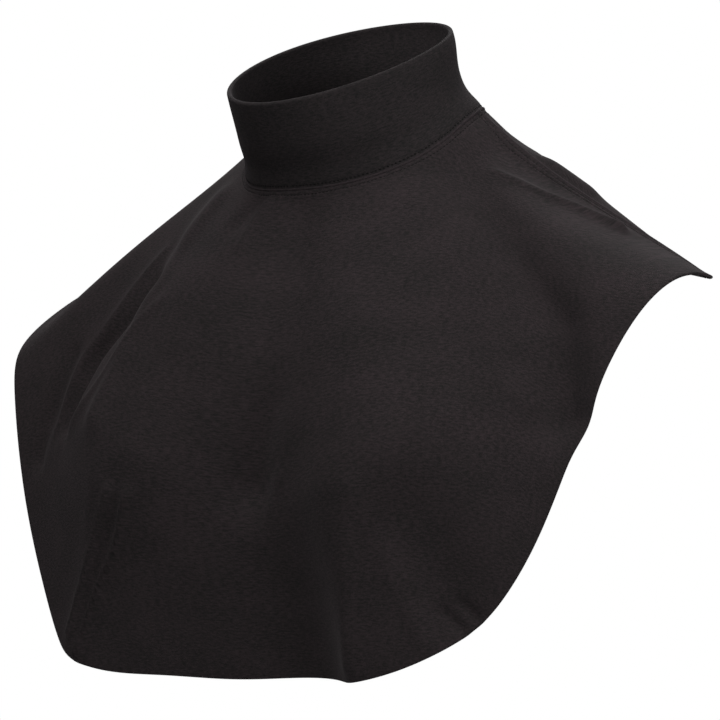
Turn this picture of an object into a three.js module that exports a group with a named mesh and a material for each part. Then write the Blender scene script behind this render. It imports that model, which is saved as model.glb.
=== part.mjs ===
// Turtleneck dickey, in the form that it keeps when it is worn: a folded mock-neck band, sewn to a
// front and a back bib that lie over the shoulders and are joined there. Millimetres, +Z up, the
// front faces -Y, the wearer's left is +X, and the origin is the middle of the neck seam.
import * as THREE from "three";

// Driving sizes of the bib, measured from the middle of the neck seam
const HALF_WIDTH = 230; // to the tip of a shoulder
const CHEST_DEPTH = 110; // to the front of the chest
const BACK_DEPTH = 104; // to the back
const SHOULDER_DROP = 62; // down to the level of the shoulder tips
const FRONT_DROP = 277; // down to the front hem
const BACK_DROP = 182; // down to the back hem

// Driving sizes of the neck seam and of the band above it
const NECK_HALF_WIDTH = 67;
const NECK_HALF_DEPTH = 58;
const NECK_BACK_SHIFT = 2; // the seam's middle lies this far behind the origin
const NECK_DIP = 26; // the seam's lowest point, at the front
const RIM_HALF_WIDTH = 54.5;
const RIM_HALF_DEPTH = 69.5;
const RIM_TILT = 19.8; // degrees, the front lower
const RIM_FORE = 18.5; // the rim's middle lies this far in front of the origin
const RIM_RISE = 45.4; // and this far above it
const RIM_LEAN = 2; // how much higher the rim is at the wearer's right than at the middle
const BAND_HOLLOW = 5; // how far the band curves in between seam and rim, at its back

// Walls, seams and the gap that sewn pieces keep
const PANEL_WALL = 1.4;
const BAND_WALL = 2.6; // two layers
const NECK_SEAM_RADIUS = 1.5;
const SHOULDER_SEAM_RADIUS = 1.1;
const GAP = 0.3;

// How fine the meshes are
const FRONT_STEPS = 60;
const BACK_STEPS = 32;
const FRONT_RIB_STEPS = 28;
const BACK_RIB_STEPS = 14;
const BAND_STEPS = 56;
const BAND_WALL_STEPS = 5;
const RIM_ROUND_STEPS = 4;
const SEAM_SIDES = 6;
const SHOULDER_SEAM_STEPS = 18;
const SEAM_STEP = 0.01; // rows to each side when the neck seam's direction is measured

// Ribs run from the neck seam to the cut edge. One row each, from centre front round the wearer's
// left to centre back. turn: degrees round the neck. rise: height of the neck seam, a share of
// NECK_DIP. side, fore: where the rib ends, shares of HALF_WIDTH and of CHEST_DEPTH in front or
// BACK_DEPTH behind. fall: share of the way down from the shoulder tip to the hem. leave, land:
// slope at the rib's ends, degrees below level. far: what the wearer's right side adds to rise,
// side, fore and fall, where it isn't the left side's mirror image.
const RIBS = [
  { turn: 0, rise: -0.92, side: 0.0, fore: -0.79, fall: 1.028, leave: 66, land: 103 },
  {
    turn: 20, rise: -0.865, side: 0.26, fore: -0.87, fall: 1.015, leave: 60, land: 103,
    far: { rise: -0.06, side: 0.0, fore: 0.0, fall: 0.002 },
  },
  {
    turn: 40, rise: -0.67, side: 0.475, fore: -0.91, fall: 0.972, leave: 55, land: 93,
    far: { rise: -0.17, side: 0.078, fore: 0.05, fall: 0.066 },
  },
  {
    turn: 57, rise: -0.39, side: 0.7, fore: -0.78, fall: 0.835, leave: 48, land: 85,
    far: { rise: -0.15, side: -0.03, fore: 0.0, fall: 0.015 },
  },
  {
    turn: 70, rise: -0.105, side: 0.805, fore: -0.65, fall: 0.584, leave: 44, land: 78,
    far: { rise: -0.115, side: 0.0, fore: 0.0, fall: 0.0 },
  },
  {
    turn: 81, rise: 0.165, side: 0.875, fore: -0.57, fall: 0.317, leave: 42, land: 62,
    far: { rise: -0.115, side: 0.0, fore: 0.0, fall: 0.0 },
  },
  {
    turn: 91, rise: 0.43, side: 0.95, fore: -0.44, fall: 0.105, leave: 43, land: 35,
    far: { rise: -0.08, side: -0.025, fore: 0.0, fall: 0.113 },
  },
  {
    turn: 100, rise: 0.6, side: 0.945, fore: -0.02, fall: 0.0, leave: 43, land: 14,
    far: { rise: 0.0, side: 0.0, fore: 0.0, fall: 0.115 },
  },
  {
    turn: 108, rise: 0.69, side: 0.97, fore: 0.29, fall: 0.1, leave: 40, land: 22,
    far: { rise: 0.0, side: -0.03, fore: -0.02, fall: 0.0 },
  },
  { turn: 118, rise: 0.78, side: 0.63, fore: 0.53, fall: -0.02, leave: 36, land: 67 },
  { turn: 132, rise: 0.72, side: 0.55, fore: 0.62, fall: 0.277, leave: 42, land: 80 },
  { turn: 147, rise: 0.6, side: 0.41, fore: 0.77, fall: 0.603, leave: 42, land: 80 },
  { turn: 163, rise: 0.52, side: 0.23, fore: 0.9, fall: 0.93, leave: 45, land: 86 },
  { turn: 180, rise: 0.5, side: 0.0, fore: 0.93, fall: 1.023, leave: 46, land: 88 },
];
const SEAM_ROW = 8; // the rib under the shoulder seams
const RIB_REACH = 0.36; // length of a rib's end handles, a share of its chord

// Dents and folds of the front bib, each along a path as seen from the front. path: its points,
// shares of HALF_WIDTH and FRONT_DROP. width: share of HALF_WIDTH. heights: at the path's two
// ends, shares of HALF_WIDTH, negative in a dent. crest: how sharp the ridge is, from 0 for a soft
// swell; it is the ridge's own rounding, a share of width.
const FOLDS = [
  {
    name: "left chest",
    path: [[0.34, -0.4], [0.42, -0.56]],
    width: 0.25, heights: [0.06, 0.095], crest: 0,
  },
  {
    name: "right chest",
    path: [[-0.3, -0.4], [-0.38, -0.56]],
    width: 0.25, heights: [0.055, 0.085], crest: 0,
  },
  {
    name: "breastbone",
    path: [[0.035, -0.12], [0.06, -0.44], [0.015, -0.64]],
    width: 0.08, heights: [-0.012, -0.03], crest: 0,
  },
  {
    name: "left shoulder dent",
    path: [[0.352, -0.04], [0.606, -0.234], [0.75, -0.34], [0.81, -0.5]],
    width: 0.06, heights: [-0.03, -0.046], crest: 0,
  },
  {
    name: "long fold",
    path: [[0.31, -0.66], [0.34, -1.02]],
    width: 0.12, heights: [0.026, 0.034], crest: 0.4,
  },
  {
    name: "middle hollow",
    path: [[0.12, -0.68], [0.17, -1.02]],
    width: 0.17, heights: [-0.022, -0.07], crest: 0,
  },
  {
    name: "hollow beside it",
    path: [[0.5, -0.7], [0.6, -0.86]],
    width: 0.1, heights: [-0.03, -0.03], crest: 0,
  },
  {
    name: "right shoulder dent",
    path: [[-0.38, -0.22], [-0.553, -0.413], [-0.669, -0.542]],
    width: 0.05, heights: [-0.01, -0.014], crest: 0,
  },
  {
    name: "right corner fold",
    path: [[-0.4, -0.66], [-0.53, -0.97]],
    width: 0.07, heights: [0.014, 0.028], crest: 0.3,
  },
];
const CREST_FADE = 1.6; // how fast a sharp ridge falls away

const knit = { color: 0x272426, roughness: 0.92, metalness: 0 };
const foldedKnit = { color: 0x252224, roughness: 0.9, metalness: 0 };
const seamThread = { color: 0x2e2b2d, roughness: 0.85, metalness: 0 };

const radians = THREE.MathUtils.degToRad;
const NO_CHANGE = { rise: 0, side: 0, fore: 0, fall: 0 };

// The ribs all the way round, in millimetres: the rows above, then the wearer's right side from
// centre back to centre front.
function ribsRoundNeck() {
  const rib = (row, sign) => {
    const { rise, side, fore, fall } = (sign < 0 && row.far) || NO_CHANGE;
    const depth = row.fore < 0 ? CHEST_DEPTH : BACK_DEPTH;
    const hem = row.fore < 0 ? FRONT_DROP : BACK_DROP;
    return {
      turn: sign < 0 ? 360 - row.turn : row.turn,
      rise: NECK_DIP * (row.rise + rise),
      x: sign * HALF_WIDTH * (row.side + side),
      y: depth * (row.fore + fore),
      z: -SHOULDER_DROP - (hem - SHOULDER_DROP) * (row.fall + fall),
      leave: radians(row.leave),
      land: radians(row.land),
    };
  };
  const rightSide = RIBS.slice(1, -1).reverse();
  return [...RIBS.map((row) => rib(row, 1)), ...rightSide.map((row) => rib(row, -1))];
}

const ROUND = ribsRoundNeck();
const SEAM_LEFT = SEAM_ROW;
const SEAM_RIGHT = ROUND.length - SEAM_ROW;

// The rib at a place between rows: a uniform cubic B-spline over the four rows about it.
function ribAt(place) {
  const first = Math.floor(place);
  const f = place - first;
  const weights = [(1 - f) ** 3, 3 * f ** 3 - 6 * f ** 2 + 4, -3 * f ** 3 + 3 * f ** 2 + 3 * f + 1, f ** 3];
  const blend = { turn: 0, rise: 0, x: 0, y: 0, z: 0, leave: 0, land: 0 };
  weights.forEach((weight, k) => {
    const index = first + k - 1;
    const row = ROUND[THREE.MathUtils.euclideanModulo(index, ROUND.length)];
    const lap = 360 * Math.floor(index / ROUND.length);
    for (const key of Object.keys(blend)) blend[key] += (weight / 6) * row[key];
    blend.turn += (weight / 6) * lap;
  });
  return blend;
}

// A point of the neck seam, an ellipse that dips at the front.
function neckPoint(rib) {
  const turn = radians(rib.turn);
  const y = NECK_BACK_SHIFT - NECK_HALF_DEPTH * Math.cos(turn);
  return new THREE.Vector3(NECK_HALF_WIDTH * Math.sin(turn), y, rib.rise);
}

// A rib as a cubic Bezier curve from the neck seam to the cut edge.
function ribCurve(place) {
  const rib = ribAt(place);
  const neck = neckPoint(rib);
  const edge = new THREE.Vector3(rib.x, rib.y, rib.z);
  const reach = RIB_REACH * neck.distanceTo(edge);
  const heading = new THREE.Vector3(edge.x - neck.x, edge.y - neck.y, 0).normalize();
  const slope = (angle) => heading.clone().multiplyScalar(Math.cos(angle)).setZ(-Math.sin(angle));
  const leaving = neck.clone().addScaledVector(slope(rib.leave), reach);
  const landing = edge.clone().addScaledVector(slope(rib.land), -reach);
  return new THREE.CubicBezierCurve3(neck, leaving, landing, edge);
}

// The share of a rib that lies within a distance of the neck seam, measured square to the seam.
function shareBeside(curve, place, distance) {
  const seam = neckPoint(ribAt(place + SEAM_STEP)).sub(neckPoint(ribAt(place - SEAM_STEP)));
  const leaving = curve.v1.clone().sub(curve.v0);
  return distance / (3 * leaving.length() * Math.sin(leaving.angleTo(seam)));
}

// Where a point lies beside a path: its distance from it, and the share of the path passed there.
function besidePath(path, point) {
  let nearest = { distance: Infinity, share: 0 };
  for (let k = 1; k < path.length; k += 1) {
    const run = path[k].clone().sub(path[k - 1]);
    const off = point.clone().sub(path[k - 1]);
    const share = THREE.MathUtils.clamp(off.dot(run) / run.lengthSq(), 0, 1);
    const distance = off.addScaledVector(run, -share).length();
    if (distance < nearest.distance) nearest = { distance, share: (k - 1 + share) / (path.length - 1) };
  }
  return nearest;
}

const FOLD_PATHS = FOLDS.map((fold) =>
  fold.path.map(([x, z]) => new THREE.Vector2(HALF_WIDTH * x, FRONT_DROP * z)),
);

// How far the folds lift a point of the front bib off its smooth form.
function foldHeight(point) {
  const seen = new THREE.Vector2(point.x, point.z);
  return FOLDS.reduce((height, fold, k) => {
    const { distance, share } = besidePath(FOLD_PATHS[k], seen);
    const aside = distance / (HALF_WIDTH * fold.width);
    const fade = fold.crest
      ? Math.exp(-CREST_FADE * (Math.hypot(aside, fold.crest) - fold.crest))
      : Math.exp(-(aside ** 2));
    return height + HALF_WIDTH * THREE.MathUtils.lerp(...fold.heights, share) * fade;
  }, 0);
}

// Unit normals of a grid of points, pointing out of the bib, from the differences of neighbours.
function gridNormals(grid) {
  const last = grid.length - 1;
  const difference = (a, b) => b.clone().sub(a);
  return grid.map((column, i) =>
    column.map((_, j) => {
      const round = difference(grid[Math.max(i - 1, 0)][j], grid[Math.min(i + 1, last)][j]);
      const outward = difference(column[Math.max(j - 1, 0)], column[Math.min(j + 1, column.length - 1)]);
      return outward.cross(round).normalize();
    }),
  );
}

// Moves each point of a grid along its normal.
function offsetGrid(grid, normals, distance) {
  return grid.map((column, i) =>
    column.map((p, j) => p.clone().addScaledVector(normals[i][j], distance(p))),
  );
}

// A point of the bib's smooth form, at a share of the rib that is left clear of the neck seam.
function bibPoint(place, share) {
  const curve = ribCurve(place);
  const from = shareBeside(curve, place, NECK_SEAM_RADIUS + GAP);
  return curve.getPoint(from + (1 - from) * share);
}

// How many rows a bib ends short of the shoulder seam, so that its cut is clear of the ridge.
function rowsBesideShoulderSeam(place, share, inward) {
  const point = bibPoint(place, share);
  const along = bibPoint(place, share + SEAM_STEP).sub(point).normalize();
  const aside = bibPoint(place + inward * SEAM_STEP, share).sub(point);
  aside.addScaledVector(along, -aside.dot(along));
  return (SEAM_STEP * (SHOULDER_SEAM_RADIUS + GAP)) / aside.length();
}

// Middle surface of a bib between two shoulder seams, with its folds.
function panelGrid(start, end, steps, ribSteps, height) {
  const grid = [];
  for (let i = 0; i <= steps; i += 1) {
    const place = THREE.MathUtils.lerp(start, end, i / steps);
    const inward = (i === 0) - (i === steps);
    const column = [];
    for (let j = 0; j <= ribSteps; j += 1) {
      const share = j / ribSteps;
      const inset = inward ? inward * rowsBesideShoulderSeam(place, share, inward) : 0;
      column.push(bibPoint(place + inset, share));
    }
    grid.push(column);
  }
  return offsetGrid(grid, gridNormals(grid), height);
}

// A closed body swept through loops of points: a ring if closed, else with a strip over each end
// that pairs the loop's first half with its second.
function sweep(name, loops, closed, finish) {
  const size = loops[0].length;
  const positions = loops.flat().flatMap((p) => p.toArray());
  const index = [];
  const quad = (a, b, c, d) => index.push(a, b, c, a, c, d);
  const spans = closed ? loops.length : loops.length - 1;
  for (let i = 0; i < spans; i += 1) {
    const near = i * size;
    const far = ((i + 1) % loops.length) * size;
    for (let j = 0; j < size; j += 1) {
      const k = (j + 1) % size;
      quad(near + j, near + k, far + k, far + j);
    }
  }
  if (!closed) {
    const end = (loops.length - 1) * size;
    for (let j = 0; j < size / 2 - 1; j += 1) {
      const k = size - 1 - j;
      quad(k, k - 1, j + 1, j);
      quad(end + j, end + j + 1, end + k - 1, end + k);
    }
  }
  const geometry = new THREE.BufferGeometry();
  geometry.setAttribute("position", new THREE.Float32BufferAttribute(positions, 3));
  geometry.setIndex(index);
  geometry.computeVertexNormals();
  const mesh = new THREE.Mesh(geometry, new THREE.MeshStandardMaterial(finish));
  mesh.name = name;
  return mesh;
}

// A bib: its middle surface given a wall, so that each loop runs out along the rib and back inside.
function panel(name, start, end, steps, ribSteps, height) {
  const grid = panelGrid(start, end, steps, ribSteps, height);
  const normals = gridNormals(grid);
  const outer = offsetGrid(grid, normals, () => PANEL_WALL / 2);
  const inner = offsetGrid(grid, normals, () => -PANEL_WALL / 2);
  const loops = outer.map((column, i) => [...column, ...inner[i].reverse()]);
  return sweep(name, loops, false, knit);
}

// A point of the rim, a tilted ellipse.
function rimPoint(turn) {
  const tilt = radians(RIM_TILT);
  const fore = RIM_HALF_DEPTH * Math.cos(turn);
  const y = -RIM_FORE - fore * Math.cos(tilt);
  const z = RIM_RISE - fore * Math.sin(tilt) - RIM_LEAN * Math.sin(turn);
  return new THREE.Vector3(RIM_HALF_WIDTH * Math.sin(turn), y, z);
}

// The band: a wall from the neck seam up to the fold, which is a half round.
function collar() {
  const half = BAND_WALL / 2;
  const loops = [];
  for (let i = 0; i < BAND_STEPS; i += 1) {
    const rib = ribAt((i / BAND_STEPS) * ROUND.length);
    const turn = radians(rib.turn);
    const seam = neckPoint(rib);
    const rim = rimPoint(turn);
    const up = rim.clone().sub(seam).normalize();
    const level = new THREE.Vector3(Math.sin(turn), -Math.cos(turn), 0);
    const out = level.clone().addScaledVector(up, -level.dot(up)).normalize();
    const bottom = seam.addScaledVector(up, NECK_SEAM_RADIUS + GAP);
    const top = rim.addScaledVector(up, -half);
    const hollow = (BAND_HOLLOW * (1 - Math.cos(turn))) / 2;
    const at = (share, across) => {
      const inward = hollow * Math.sin(Math.PI * share) ** 2;
      return bottom.clone().lerp(top, share).addScaledVector(out, across - inward);
    };
    const loop = [];
    for (let j = 0; j <= BAND_WALL_STEPS; j += 1) loop.push(at(j / BAND_WALL_STEPS, -half));
    for (let j = 1; j < RIM_ROUND_STEPS; j += 1) {
      const angle = (Math.PI * j) / RIM_ROUND_STEPS;
      loop.push(at(1, -half * Math.cos(angle)).addScaledVector(up, half * Math.sin(angle)));
    }
    for (let j = BAND_WALL_STEPS; j >= 0; j -= 1) loop.push(at(j / BAND_WALL_STEPS, half));
    loops.push(loop);
  }
  return sweep("collar", loops, true, foldedKnit);
}

// A sewn ridge as a round bead along a curve, with its sides square to the curve.
function bead(name, points, radius, closed) {
  const curve = new THREE.CatmullRomCurve3(points, closed);
  const steps = points.length - (closed ? 0 : 1);
  const loops = points.map((p, i) => {
    const along = curve.getTangent(i / steps);
    const across = new THREE.Vector3(0, 0, 1).cross(along).normalize();
    const up = along.clone().cross(across);
    return Array.from({ length: SEAM_SIDES }, (_, j) => {
      const angle = (2 * Math.PI * (j + 0.5)) / SEAM_SIDES;
      const side = across.clone().multiplyScalar(radius * Math.cos(angle));
      return p.clone().add(side).addScaledVector(up, radius * Math.sin(angle));
    });
  });
  return sweep(name, loops, closed, seamThread);
}

function neckSeam() {
  const points = [];
  for (let i = 0; i < BAND_STEPS; i += 1) points.push(neckPoint(ribAt((i / BAND_STEPS) * ROUND.length)));
  return bead("neck_seam", points, NECK_SEAM_RADIUS, true);
}

// The ridge between the two bibs over one shoulder, from beside the neck seam to the cut edge.
function shoulderSeam(name, place) {
  const curve = ribCurve(place);
  const from = shareBeside(curve, place, NECK_SEAM_RADIUS + GAP);
  const points = [];
  for (let i = 0; i <= SHOULDER_SEAM_STEPS; i += 1) {
    points.push(curve.getPoint(from + (1 - from) * (i / SHOULDER_SEAM_STEPS)));
  }
  return bead(name, points, SHOULDER_SEAM_RADIUS, false);
}

const dickey = new THREE.Group();
dickey.name = "turtleneck_dickey";
dickey.add(
  collar(),
  neckSeam(),
  panel("front_panel", SEAM_RIGHT - ROUND.length, SEAM_LEFT, FRONT_STEPS, FRONT_RIB_STEPS, foldHeight),
  panel("back_panel", SEAM_LEFT, SEAM_RIGHT, BACK_STEPS, BACK_RIB_STEPS, () => 0),
  shoulderSeam("left_shoulder_seam", SEAM_LEFT),
  shoulderSeam("right_shoulder_seam", SEAM_RIGHT),
);

export default dickey;
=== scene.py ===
"""Black cotton turtleneck dickey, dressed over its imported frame.

The bib is a net of ribs that run from the neck seam to the cut edge, blended by a B-spline all
round the neck. The band stands on the same neck seam. Metres, +Z up, the front faces -Y, and the
wearer's left is +X.
"""
import logging
import math
from dataclasses import dataclass, field
from enum import Enum

import bpy
import numpy as np
from bpy.types import Material, Node, NodeSocket, NodeTree, Object
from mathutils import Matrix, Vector


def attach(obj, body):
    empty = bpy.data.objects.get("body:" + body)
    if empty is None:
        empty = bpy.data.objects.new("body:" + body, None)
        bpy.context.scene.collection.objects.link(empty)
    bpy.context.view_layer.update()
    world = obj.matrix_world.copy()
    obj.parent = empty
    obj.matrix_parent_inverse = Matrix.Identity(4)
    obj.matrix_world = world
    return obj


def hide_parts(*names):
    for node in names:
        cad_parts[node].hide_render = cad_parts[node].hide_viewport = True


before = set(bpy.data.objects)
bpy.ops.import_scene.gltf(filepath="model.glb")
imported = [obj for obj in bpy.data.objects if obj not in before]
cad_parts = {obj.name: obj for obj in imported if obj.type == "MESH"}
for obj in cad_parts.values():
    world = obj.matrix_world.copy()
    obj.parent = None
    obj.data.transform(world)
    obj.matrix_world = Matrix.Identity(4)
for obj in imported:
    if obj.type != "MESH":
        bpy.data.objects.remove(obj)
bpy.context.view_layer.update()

BODY = "root"
MM = 0.001
RIB_COLUMNS = 7  # turn, rise, side, fore, fall, leave, land
STEP = 0.01  # of a place or a share, for differences
TINY = 1e-12  # keeps a division from failing

NECK_POINTS = 320  # along the neck ridge
SHOULDER_POINTS = 120  # along each shoulder ridge

Pair = tuple[np.ndarray, np.ndarray]
log = logging.getLogger("dickey")


class Hold(Enum):
    """How a sheet of cloth is held."""

    HUNG = "hung"
    FOLDED = "folded"


class Profile(Enum):
    """Cross-section of a fold: a soft swell, or a ridge with a crest."""

    SWELL = "swell"
    RIDGE = "ridge"


@dataclass(frozen=True)
class Rib:
    """One rib of the net, from the neck seam to the cut edge, in shares of BibForm's sizes.

    turn is in degrees round the neck from centre front, leave and land in degrees below level, and
    far is what the wearer's right side adds to rise, side, fore and fall.
    """

    turn: float
    rise: float
    side: float
    fore: float
    fall: float
    leave: float
    land: float
    far: tuple[float, float, float, float] = (0.0, 0.0, 0.0, 0.0)


RIBS = (
    Rib(0, -0.92, 0.0, -0.79, 1.028, 66, 103),
    Rib(20, -0.865, 0.26, -0.87, 1.015, 60, 103, (-0.06, 0.0, 0.0, 0.002)),
    Rib(40, -0.67, 0.475, -0.91, 0.972, 55, 93, (-0.17, 0.078, 0.05, 0.066)),
    Rib(57, -0.39, 0.7, -0.78, 0.835, 48, 85, (-0.15, -0.03, 0.0, 0.015)),
    Rib(70, -0.105, 0.805, -0.65, 0.584, 44, 78, (-0.115, 0.0, 0.0, 0.0)),
    Rib(81, 0.165, 0.875, -0.57, 0.317, 42, 62, (-0.115, 0.0, 0.0, 0.0)),
    Rib(91, 0.43, 0.95, -0.44, 0.105, 43, 35, (-0.08, -0.025, 0.0, 0.113)),
    Rib(100, 0.6, 0.945, -0.02, 0.0, 43, 14, (0.0, 0.0, 0.0, 0.115)),
    Rib(108, 0.69, 0.97, 0.29, 0.1, 40, 22, (0.0, -0.03, -0.02, 0.0)),
    Rib(118, 0.78, 0.63, 0.53, -0.02, 36, 67),
    Rib(132, 0.72, 0.55, 0.62, 0.277, 42, 80),
    Rib(147, 0.6, 0.41, 0.77, 0.603, 42, 80),
    Rib(163, 0.52, 0.23, 0.9, 0.93, 45, 86),
    Rib(180, 0.5, 0.0, 0.93, 1.023, 46, 88),
)


@dataclass(frozen=True)
class Fold:
    """A main dent or fold of the front bib, along a path seen from the front.

    path has shares of the bib's half width and front drop; width and heights, which are at the
    path's two ends, have shares of the half width. crest is a ridge's rounding, a share of width.
    """

    name: str
    path: tuple[tuple[float, float], ...]
    width: float
    heights: tuple[float, float]
    crest: float = 0.0


FOLDS = (
    Fold("left chest", ((0.34, -0.4), (0.42, -0.56)), 0.25, (0.06, 0.095)),
    Fold("right chest", ((-0.3, -0.4), (-0.38, -0.56)), 0.25, (0.055, 0.085)),
    Fold("breastbone", ((0.035, -0.12), (0.06, -0.44), (0.015, -0.64)), 0.08, (-0.012, -0.03)),
    Fold(
        "left shoulder dent",
        ((0.352, -0.04), (0.606, -0.234), (0.75, -0.34), (0.81, -0.5)),
        0.06,
        (-0.03, -0.046),
    ),
    Fold("long fold", ((0.31, -0.66), (0.34, -1.02)), 0.12, (0.026, 0.034), 0.4),
    Fold("middle hollow", ((0.12, -0.68), (0.17, -1.02)), 0.17, (-0.022, -0.07)),
    Fold("hollow beside it", ((0.5, -0.7), (0.6, -0.86)), 0.1, (-0.03, -0.03)),
    Fold(
        "right shoulder dent",
        ((-0.38, -0.22), (-0.553, -0.413), (-0.669, -0.542)),
        0.05,
        (-0.010, -0.014),
    ),
    Fold("right corner fold", ((-0.4, -0.66), (-0.53, -0.97)), 0.07, (0.014, 0.028), 0.3),
)
CREST_FADE = 1.6  # how fast a ridge falls, for each width
CREASE_CREST = 0.45  # rounding of a crease's ridge, a share of its width
PATH_POINTS = 36  # along each crease


@dataclass(frozen=True)
class Crease:
    """A finer fold, along a path on the cloth itself.

    path has the place among the ribs and the share of the rib passed; width and heights, which are
    at the path's two ends, are in millimetres.
    """

    name: str
    path: tuple[tuple[float, float], ...]
    width: float
    heights: tuple[float, float]
    profile: Profile = Profile.SWELL


FRONT_CREASES = (
    Crease(
        "valley at the right arm",
        ((-2.78, 0.278), (-2.98, 0.378), (-3.34, 0.516), (-3.2, 0.602), (-3.13, 0.669)),
        7, (-3.4, -6.5,
    ),
    ),
    Crease(
        "ridge before it",
        ((-1.81, 0.268), (-2.1, 0.363), (-2.28, 0.471), (-2.6, 0.57), (-3.2, 0.717)),
        4, (1.2, 2.2), Profile.RIDGE,
    ),
    Crease(
        "ridge behind it",
        ((-3.52, 0.261), (-3.56, 0.411), (-3.61, 0.519), (-3.68, 0.6), (-3.54, 0.754)),
        4, (1.2, 2.4), Profile.RIDGE,
    ),
    Crease(
        "second valley", ((-4.06, 0.662), (-3.94, 0.73), (-3.9, 0.8), (-3.81, 0.887)), 7, (-3.2, -4,
    ),
    ),
    Crease(
        "right collarbone",
        ((-3.1, 0.08), (-2.75, 0.2), (-2.3, 0.29), (-1.99, 0.386), (-1.85, 0.52)),
        9, (2.4, 3,
    ),
    ),
    Crease("dent under the band", ((-0.95, 0.01), (-1.07, 0.04), (-1.18, 0.083)), 7, (-2.6, -1.6),
    ),
    Crease("ridge under the band", ((-0.62, 0.023), (-0.68, 0.068), (-0.69, 0.123)), 4, (1.4, 1),
    ),
    Crease(
        "breastbone",
        ((0.3, 0.053), (0.5, 0.153), (0.64, 0.283), (0.39, 0.421), (0.15, 0.516), (0.06, 0.622)),
        10, (-0.8, -1.8,
    ),
    ),
    Crease("small left wrinkle", ((3.36, 0.569), (3.72, 0.662), (4.01, 0.762)), 5, (0.6, 1.2),
    ),
    Crease("middle ridge", ((0.37, 0.599), (0.24, 0.672), (0.21, 0.719)), 4, (1.4, 0.5)),
    Crease(
        "crest of the long fold",
        ((1.56, 0.652), (1.45, 0.737), (1.36, 0.847), (1.32, 0.967)),
        9, (2.2, 3.4), Profile.RIDGE,
    ),
    Crease(
        "ridge down the long fold",
        ((1.67, 0.682), (1.85, 0.792), (2.08, 0.9), (2.24, 0.967)),
        6, (0.6, 2,
    ),
    ),
    Crease("left dent", ((2.41, 0.932), (2.62, 0.985)), 3, (-2.2, -2.6)),
    Crease("left dent beside it", ((2.6, 0.932), (2.8, 0.982)), 3, (-2, -2.4)),
    Crease(
        "outer corner ridge",
        ((-1.32, 0.647), (-1.5, 0.727), (-1.72, 0.822), (-1.93, 0.91), (-2.04, 0.95)),
        2.6, (3, 2.2), Profile.RIDGE,
    ),
    Crease(
        "inner corner ridge",
        ((-1.09, 0.647), (-1.27, 0.749), (-1.56, 0.845), (-1.8, 0.942), (-1.93, 0.985)),
        2.6, (3.4, 4.6), Profile.RIDGE,
    ),
    Crease(
        "shoulder crest",
        ((6.16, 0.2), (6.56, 0.29), (6.84, 0.4), (7.16, 0.5), (7.38, 0.6), (7.5, 0.66)),
        4, (1.6, 4.4), Profile.RIDGE,
    ),
)
BACK_CREASES = (
    Crease("dip beside the band", ((8.7, 0.12), (8.5, 0.25)), 9, (-3, -3)),
    Crease("roll behind the left seam", ((8.42, 0.24), (8.36, 0.36), (8.32, 0.48)), 9, (2.4, 2.8),
    ),
)


def smooth_path(points: np.ndarray, count: int) -> np.ndarray:
    """Draws a smooth curve through points.

    Between two points the curve is the cubic that passes both and leaves each along the line from
    its neighbour before to its neighbour after, which is a Catmull-Rom spline.

    Args:
        points: the points, one a row.
        count: how many points the curve gets.

    Returns:
        The curve's points, one a row.
    """
    ends = 2 * points[[0, -1]] - points[[1, -2]]
    padded = np.vstack([ends[:1], points, ends[1:]])
    place = np.linspace(0, len(points) - 1, count)
    first = np.minimum(place.astype(int), len(points) - 2)
    f = (place - first)[:, None]
    a, b, c, d = (padded[first + k] for k in range(4))
    bend = (2 * a - 5 * b + 4 * c - d) * f**2 + (3 * (b - c) + d - a) * f**3
    return b + 0.5 * ((c - a) * f + bend)


def beside_path(points: np.ndarray, path: np.ndarray) -> Pair:
    """Finds where points lie beside a path of straight runs.

    The nearest point of a run is the foot of the perpendicular, kept between the run's ends.

    Args:
        points: the points, in the last axis.
        path: the path's points, one a row.

    Returns:
        Each point's distance from the path, and the share of the path passed at its nearest point.
    """
    distance = np.full(points.shape[:-1], np.inf)
    share = np.zeros(points.shape[:-1])
    for k, run in enumerate(np.diff(path, axis=0)):
        off = points - path[k]
        passed = np.clip(off @ run / max(run @ run, TINY), 0, 1)
        apart = lengths(off - passed[..., None] * run)
        nearer = apart < distance
        distance = np.where(nearer, apart, distance)
        share = np.where(nearer, (k + passed) / (len(path) - 1), share)
    return distance, share


def fold_profile(aside: np.ndarray, crest: float) -> np.ndarray:
    """Gives a fold's height across it, from 1 on its line to 0 far off.

    A swell falls as exp(-a^2). A ridge falls as exp(-k (sqrt(a^2 + c^2) - c)), with c its crest.

    Args:
        aside: distance from the fold's line, in widths of the fold.
        crest: the ridge's rounding in widths, or 0 for a swell.

    Returns:
        The height, as a share of the fold's own.
    """
    if crest == 0:
        return np.exp(-(aside**2))
    return np.exp(-CREST_FADE * (np.hypot(aside, crest) - crest))


def lengths(vectors: np.ndarray) -> np.ndarray:
    """Gives the lengths of vectors in the last axis."""
    return np.linalg.norm(vectors, axis=-1)


def unit(vectors: np.ndarray) -> np.ndarray:
    """Scales vectors in the last axis to length 1."""
    return vectors / np.maximum(np.linalg.norm(vectors, axis=-1, keepdims=True), TINY)


def grid_normals(grid: np.ndarray) -> np.ndarray:
    """Gives the unit normals of a grid whose first axis runs round and second outwards.

    The normal is the cross product of the outward and the round difference of neighbours.

    Args:
        grid: points, by place round, place outwards and coordinate.

    Returns:
        One unit normal for each point, out of the bib.
    """
    return unit(np.cross(np.gradient(grid, axis=1), np.gradient(grid, axis=0)))


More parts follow.
